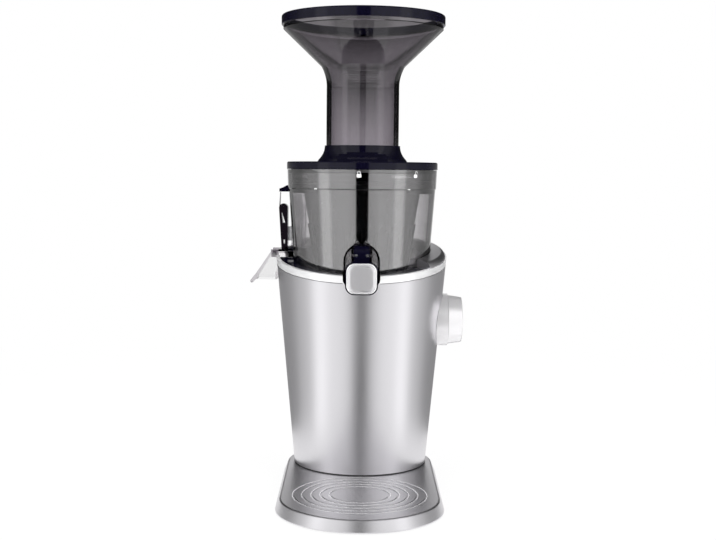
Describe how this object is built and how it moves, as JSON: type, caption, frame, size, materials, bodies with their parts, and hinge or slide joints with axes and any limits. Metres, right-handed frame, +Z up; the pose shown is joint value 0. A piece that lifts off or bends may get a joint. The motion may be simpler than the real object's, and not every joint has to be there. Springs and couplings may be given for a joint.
{
  "type": "cold press juicer",
  "caption": "Upright slow juicer with a tapered silver body on a long base, clear chamber, smoked hopper, side knob and a capped front spout.",
  "frame": {"origin": "on the body axis, level with the soles of the feet", "axes": "+Z up along the body axis, -Y to the front (juice cap), +X to the knob side"},
  "size_m": [0.2125, 0.3026, 0.457],
  "materials": {
    "silver_paint": "satin",
    "bright_trim": "polished",
    "gloss_black": "gloss",
    "black_plastic": "matte",
    "rubber": "matte",
    "silicone": "satin",
    "smoked_light": "gloss",
    "smoked_dark": "gloss",
    "clear_plastic": "gloss",
    "strainer_grey": "satin",
    "screw_plastic": "satin",
    "steel": "satin",
    "motor_iron": "satin",
    "gearbox_metal": "cast",
    "gear_plastic": "satin",
    "bronze": "satin",
    "board_green": "satin"
  },
  "bodies": {
    "base": {"base_cover": "silver_paint", "bottom_plate": "black_plastic", "feet": "rubber", "bottom_screws": "steel", "body_shell": "silver_paint", "top_trim": "bright_trim", "inner_deck": "gloss_black", "deck_shoulder": "silver_paint", "switch_boss": "silver_paint", "rotary_switch": "black_plastic", "chassis": "black_plastic", "motor_stator": "motor_iron", "motor_bearings": "steel", "gearbox_lower": "gearbox_metal", "gearbox_upper": "gearbox_metal", "gearbox_screws": "steel", "idler_axle": "steel", "output_bushes": "bronze", "shaft_seal": "rubber", "cord_gland": "rubber", "circuit_board": "board_green"},
    "shaft": {"drive_shaft": "steel", "output_gear": "gear_plastic"},
    "idler": {"idler_gear": "gear_plastic"},
    "rotor": {"motor_rotor": "motor_iron", "motor_pinion": "bronze", "motor_fan": "black_plastic"},
    "knob": {"control_knob": "silver_paint", "knob_spindle": "steel"},
    "chamber": {"juicing_chamber": "smoked_light", "chamber_gasket": "silicone", "outer_strainer": "strainer_grey", "inner_strainer": "strainer_grey", "juice_spout": "smoked_light", "cap_pin": "steel", "pulp_chute": "clear_plastic", "pulp_hook": "gloss_black", "lever_pins": "steel"},
    "screw": {"auger": "screw_plastic"},
    "cap": {"cap_body": "gloss_black", "cap_plate": "bright_trim", "cap_studs": "steel", "cap_seal": "silicone"},
    "lever": {"pulp_lever": "smoked_dark", "pulp_packing": "silicone"},
    "lid_set": {"lid": "gloss_black", "lid_gasket": "silicone", "lid_bush": "screw_plastic"},
    "hopper": {"hopper_funnel": "smoked_dark", "hopper_rim": "gloss_black"}
  },
  "joints": [
    {"name": "motor_turn", "type": "hinge", "parent": "base", "child": "rotor", "pos_m": [0, 0, 0.08], "axis": [0, 0, 1], "continuous": true},
    {"name": "drive_turn", "type": "hinge", "parent": "base", "child": "shaft", "pos_m": [0, 0, 0.17], "axis": [0, 0, 1], "continuous": true},
    {"name": "idler_turn", "type": "hinge", "parent": "base", "child": "idler", "pos_m": [0, 0.036, 0.14], "axis": [0, 0, 1], "continuous": true},
    {"name": "knob_turn", "type": "hinge", "parent": "base", "child": "knob", "pos_m": [0.09, 0, 0.1565], "axis": [1, 0, 0], "range_deg": [-45, 45]},
    {"name": "chamber_lift", "type": "slide", "parent": "base", "child": "chamber", "axis": [0, 0, 1], "range_m": [0, 0.07]},
    {"name": "screw_turn", "type": "hinge", "parent": "chamber", "child": "screw", "pos_m": [0, 0, 0.24], "axis": [0, 0, 1], "continuous": true},
    {"name": "cap_swing", "type": "hinge", "parent": "chamber", "child": "cap", "pos_m": [0, -0.0885, 0.226], "axis": [-1, 0, 0], "range_deg": [0, 80]},
    {"name": "lever_swing", "type": "hinge", "parent": "chamber", "child": "lever", "pos_m": [-0.0876, 0.0154, 0.2206], "axis": [0, -1, 0], "range_deg": [0, 75]},
    {"name": "lid_twist", "type": "hinge", "parent": "chamber", "child": "lid_set", "pos_m": [0, 0, 0.31], "axis": [0, 0, 1], "range_deg": [0, 45]},
    {"name": "hopper_lift", "type": "slide", "parent": "lid_set", "child": "hopper", "axis": [0, 0, 1], "range_m": [0, 0.03]}
  ],
  "couplings": [
    {"joint": "drive_turn", "follows": "motor_turn", "ratio": 0.05},
    {"joint": "idler_turn", "follows": "motor_turn", "ratio": -0.2},
    {"joint": "screw_turn", "follows": "motor_turn", "ratio": 0.05}
  ]
}
